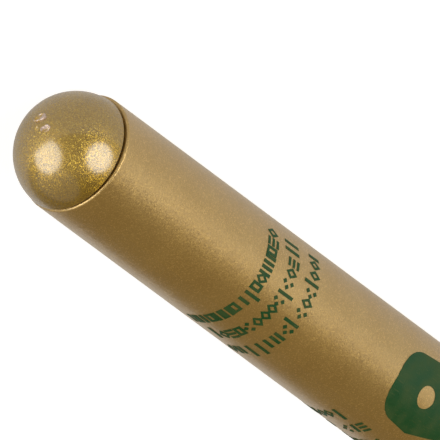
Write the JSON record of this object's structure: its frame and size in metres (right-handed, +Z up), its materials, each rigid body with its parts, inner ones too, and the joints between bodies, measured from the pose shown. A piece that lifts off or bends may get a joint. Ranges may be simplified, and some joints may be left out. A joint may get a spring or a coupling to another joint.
{
  "type": "calligraphy marker",
  "caption": "Capped fibre-tip calligraphy marker: tapered round barrel with a domed end plug, chisel nib, and a vented cap with a pocket clip.",
  "frame": {"origin": "under the middle of the marker, on the surface it lies on, with the centre line of the marker straight above it", "axes": "+X along the marker from the domed end plug to the crown of the cap, +Z up through the pocket clip, +Y across"},
  "size_m": [0.1398, 0.0126, 0.0153],
  "materials": {
    "barrel_gold": "satin pearl gold moulded plastic with fine pigment grain",
    "plug_gold": "glossy plastic over gold metallic flake",
    "ink_fibre": "bonded polyester fibre soaked with gold ink",
    "clear_film": "clear polypropylene film",
    "section_black": "fine satin black moulded plastic",
    "nib_fibre": "dense fibre, stained with gold ink",
    "cap_gold": "glossy plastic over gold metallic flake",
    "seal_white": "natural translucent polyethylene",
    "print_green": "matt green pad-printed ink"
  },
  "bodies": {
    "pen": {"barrel": "barrel_gold", "end_plug": "plug_gold", "ink_reservoir": "ink_fibre", "reservoir_film": "clear_film", "breather_tube": "clear_film", "front_section": "section_black", "nib": "nib_fibre"},
    "cap": {"cap_shell": "cap_gold", "inner_cap": "seal_white", "cap_crown": "cap_gold"},
    "clip": {"pocket_clip": "cap_gold"}
  },
  "joints": [
    {"name": "cap_pull", "type": "slide", "parent": "pen", "child": "cap", "axis": [1, 0, 0], "range_m": [0, 0.05]},
    {"name": "clip_flex", "type": "hinge", "parent": "cap", "child": "clip", "pos_m": [0.06664, 0, 0.0118], "axis": [0, 1, 0], "range_deg": [0, 5], "stiffness_Nm_per_rad": 1}
  ]
}
